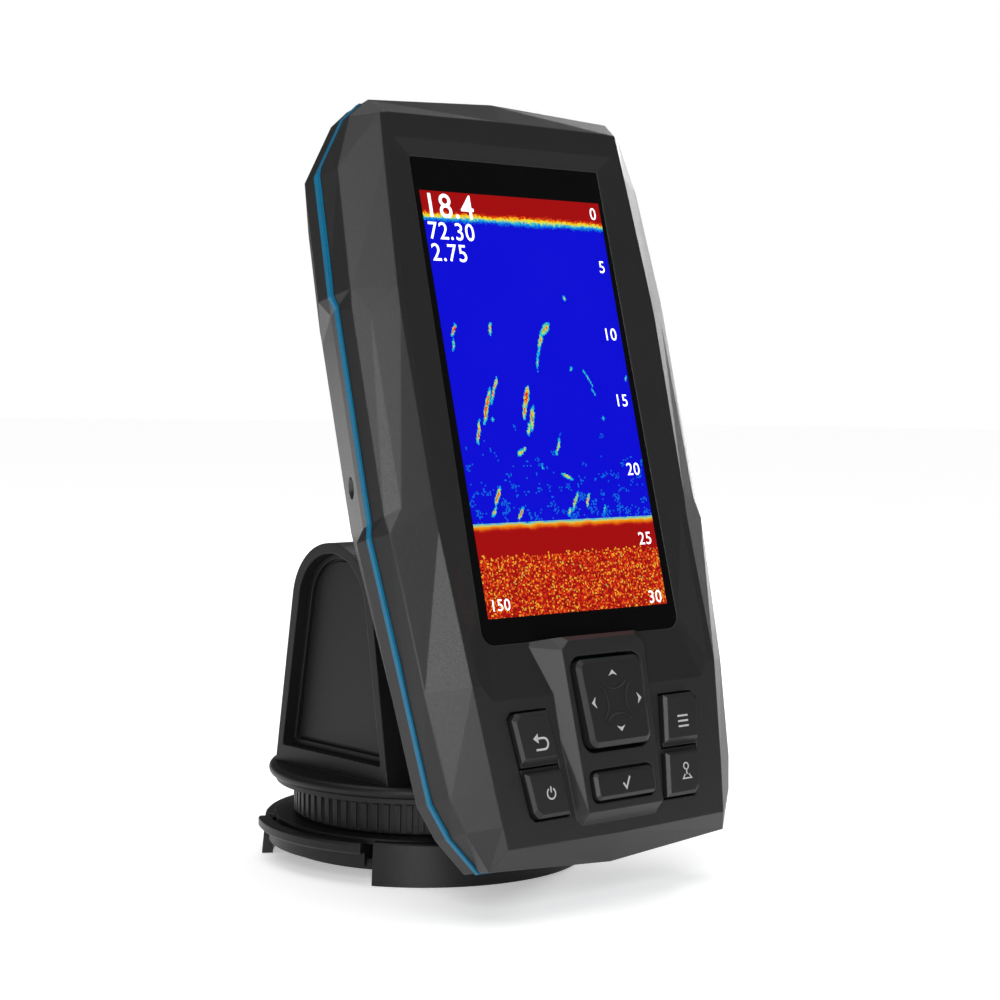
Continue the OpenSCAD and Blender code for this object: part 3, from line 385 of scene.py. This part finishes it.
def marking(name, body, x, y, z, outlines, slope=0.0, material=None, height=INK_T):
    """Flat shapes on a key's top, printed unless a material is given, as one thin closed mesh."""
    bm = bmesh.new()
    for outline in outlines:
        face = bm.faces.new([bm.verts.new((px, py, 0)) for px, py in outline])
        face.normal_update()
        if face.normal.z < 0:
            face.normal_flip()
    base = list(bm.faces)
    raised = bmesh.ops.extrude_face_region(bm, geom=base)["geom"]
    tops = [v for v in raised if isinstance(v, bmesh.types.BMVert)]
    bmesh.ops.translate(bm, vec=(0, 0, height), verts=tops)
    bmesh.ops.reverse_faces(bm, faces=base)
    bmesh.ops.triangulate(bm, faces=bm.faces[:])
    bmesh.ops.scale(bm, vec=(MM, MM, MM), verts=bm.verts)
    bmesh.ops.transform(bm, matrix=on_head(x, y, z) @ Matrix.Rotation(slope, 4, "X"), verts=bm.verts)
    bmesh.ops.recalc_face_normals(bm, faces=bm.faces)
    mesh = bpy.data.meshes.new(name)
    bm.to_mesh(mesh)
    bm.free()
    return make_piece(name, mesh, body, material or ink)


PAD_Y, PAD_TOP = -68.2, 7.1
CHECK_Y, CHECK_TOP = -86.0, 6.0
SIDE_Y, SIDE_TOP, SIDE_FALL = -68.2, 4.5, 0.053  # the side keys' tops fall away down the head


ARROW = [(-1.25, -0.45), (0, 0.85), (1.25, -0.45), (0, -0.05)]


def on_side_key(name, body, x, y, outlines):
    top = SIDE_TOP + (y - SIDE_Y) * SIDE_FALL
    return marking(name, body, x, y, top, outlines, math.atan(SIDE_FALL))


def turned(outline, degrees, x=0.0, y=0.0):
    c, s = math.cos(math.radians(degrees)), math.sin(math.radians(degrees))
    return [(x + c * px - s * py, y + s * px + c * py) for px, py in outline]


marking("arrow_marks", "dpad", 0, PAD_Y, PAD_TOP, [
    turned(ARROW, 0, 0, 5.9), turned(ARROW, 180, 0, -5.9),
    turned(ARROW, 90, -6.6, 0), turned(ARROW, -90, 6.6, 0)])
marking("pad_ridges", "dpad", 0, PAD_Y, PAD_TOP, [
    turned(stroke(arc(-7.4, 0, 4.7, -48, 48), 0.35), quarter) for quarter in (0, 90, 180, 270)],
    material=keycap, height=0.14)
marking("tick_mark", "check", 0, CHECK_Y, CHECK_TOP, [
    stroke([(-1.1, 0.1), (-0.35, -1.05), (1.05, 1.35)], 0.42)])
on_side_key("return_mark", "back", -21.0, -74.9, [
    stroke([(-0.9, 0.95), (0.75, 0.95)] + arc(0.75, -0.25, 1.2, 80, -80) + [(-1.5, -1.45)], 0.46),
    [(-0.7, 2.0), (-2.1, 0.95), (-0.7, -0.1)]])
on_side_key("power_mark", "power", -19.9, -85.7, [
    stroke(arc(0, 0, 1.15, 122, 418, 28), 0.34), stroke([(0, 0.2), (0, 1.5)], 0.34)])
on_side_key("menu_mark", "menu", 21.9, -74.4, [
    stroke([(-1.6, level), (1.6, level)], 0.42) for level in (-1.15, 0, 1.15)])
on_side_key("position_mark", "mark", 20.9, -85.5, [
    stroke(arc(0, 1.1, 0.72, -70, 290, 24), 0.3), stroke([(0, 0.45), (0, -0.75)], 0.36),
    stroke([(-0.55, -0.65), (-1.3, -1.6), (1.3, -1.6), (0.55, -0.65)], 0.3)])


# ---- Numerals on the display ----
def numerals(name, entries):
    """One flat mesh of numbers: text, share across, share down, height in millimetres, side."""
    bm = bmesh.new()
    for text, u, v, height, side in entries:
        curve = bpy.data.curves.new("numeral", "FONT")
        curve.body, curve.size, curve.offset = text, height * 1.4 * MM, 0.006 * height * MM
        curve.space_character = 1.08
        curve.align_x, curve.align_y = side, "CENTER"
        shape = bpy.data.objects.new("numeral", curve)
        bpy.context.scene.collection.objects.link(shape)
        bpy.context.view_layer.update()
        flat = bpy.data.meshes.new_from_object(shape.evaluated_get(bpy.context.evaluated_depsgraph_get()))
        flat.transform(on_head((u - 0.5) * SCREEN_W, (0.5 - v) * SCREEN_H, WINDOW_Z + 0.03))
        bm.from_mesh(flat)
        bpy.data.objects.remove(shape)
        bpy.data.curves.remove(curve)
        bpy.data.meshes.remove(flat)
    mesh = bpy.data.meshes.new(name)
    bm.to_mesh(mesh)
    bm.free()
    return make_piece(name, mesh, "head", lit_white)


DEPTHS = zip(("0", "5", "10", "15", "20", "25", "30"), (0.030, 0.165, 0.335, 0.500, 0.670, 0.840, 0.982))
numerals("depth_scale", [(text, 0.975, v, 2.9, "RIGHT") for text, v in DEPTHS])
numerals("readouts", [
    ("18.4", 0.01, 0.038, 5.6, "LEFT"), ("72.30", 0.012, 0.098, 4.0, "LEFT"),
    ("2.75", 0.012, 0.150, 4.0, "LEFT"), ("150", 0.02, 0.972, 2.6, "LEFT")])


# ---- Studio ----
def matte_white(name, level, glow):
    """Paper lit from behind a little, so only a faint shadow shows on it."""
    material, tree, shader = blank(name)
    wash = noise(tree, object_place(tree), 0.3, 2.0)
    tone = mix(tree, wash, [level * 0.995] * 3, [level] * 3)
    tree.links.new(tone, shader.inputs["Base Color"])
    tree.links.new(tone, shader.inputs["Emission Color"])
    shader.inputs["Emission Strength"].default_value = glow
    shader.inputs["Roughness"].default_value = 0.9
    shader.inputs["Specular IOR Level"].default_value = 0.0
    return material


FLOOR_RADIUS = 4.0
FLOOR_WHITE, FLOOR_GLOW = 0.93, 0.42
FLOOR_GAP = 0.0001
floor_mesh = bpy.data.meshes.new("floor")
bm = bmesh.new()
bmesh.ops.create_circle(bm, cap_ends=True, segments=96, radius=FLOOR_RADIUS)
bm.to_mesh(floor_mesh)
bm.free()
floor_mesh.materials.append(matte_white("floor_paper", FLOOR_WHITE, FLOOR_GLOW))
floor = bpy.data.objects.new("floor", floor_mesh)
bpy.context.scene.collection.objects.link(floor)
floor.location.z = cad_box[0].z - FLOOR_GAP

world = bpy.data.worlds.new("studio")
bpy.context.scene.world = world
world.use_nodes = True
tree = world.node_tree
backdrop = next(n for n in tree.nodes if n.type == "BACKGROUND")
backdrop.inputs["Color"].default_value = (1, 1, 1, 1)
WORLD_FILL = 0.09  # the backdrop shows white but lights the object this much
seen = add(tree, "LightPath").outputs["Is Camera Ray"]
tree.links.new(remap(tree, seen, 0, 1, WORLD_FILL, 1.0), backdrop.inputs["Strength"])

centre = (cad_box[0] + cad_box[1]) / 2
SOFTBOX_DISTANCE = 1.2


def softbox(name, azimuth, elevation, size, power):
    """An area light that looks at the object's middle. Azimuth 0 is in front, 90 on the right."""
    light = bpy.data.lights.new(name, "AREA")
    light.shape = "RECTANGLE"
    light.size, light.size_y = size
    light.energy = power
    lamp = bpy.data.objects.new(name, light)
    bpy.context.scene.collection.objects.link(lamp)
    a, e = math.radians(azimuth), math.radians(elevation)
    away = Vector((math.sin(a) * math.cos(e), -math.cos(a) * math.cos(e), math.sin(e)))
    lamp.location = centre + away * SOFTBOX_DISTANCE
    lamp.rotation_euler = away.to_track_quat("Z", "Y").to_euler()
    return lamp


sun = bpy.data.lights.new("overhead", "SUN")
sun.energy = 1.7
sun.angle = math.radians(60)
overhead = bpy.data.objects.new("overhead", sun)
bpy.context.scene.collection.objects.link(overhead)
softbox("front_left_softbox", -42, 16, (0.45, 0.9), 10)
softbox("right_softbox", 118, 14, (0.4, 1.1), 9)

# ---- Camera: the view the object is shown from ----
VIEW_AZIMUTH, VIEW_ELEVATION, VIEW_ROLL = -41.1, 3.5, 0.63
AIM = Vector((0.0177, -0.0064, 0.0840))
DISTANCE = 0.530
SENSOR, LENS = 36, 79.17  # millimetres
camera = bpy.data.cameras.new("camera")
camera.sensor_width = SENSOR
camera.lens = LENS
viewer = bpy.data.objects.new("camera", camera)
bpy.context.scene.collection.objects.link(viewer)
turn = (Matrix.Rotation(math.radians(VIEW_AZIMUTH), 4, "Z")
        @ Matrix.Rotation(math.radians(90 - VIEW_ELEVATION), 4, "X")
        @ Matrix.Rotation(math.radians(VIEW_ROLL), 4, "Z"))
viewer.matrix_world = Matrix.Translation(AIM) @ turn @ Matrix.Translation((0, 0, DISTANCE))
bpy.context.scene.camera = viewer
bpy.context.scene.view_settings.view_transform = "Standard"
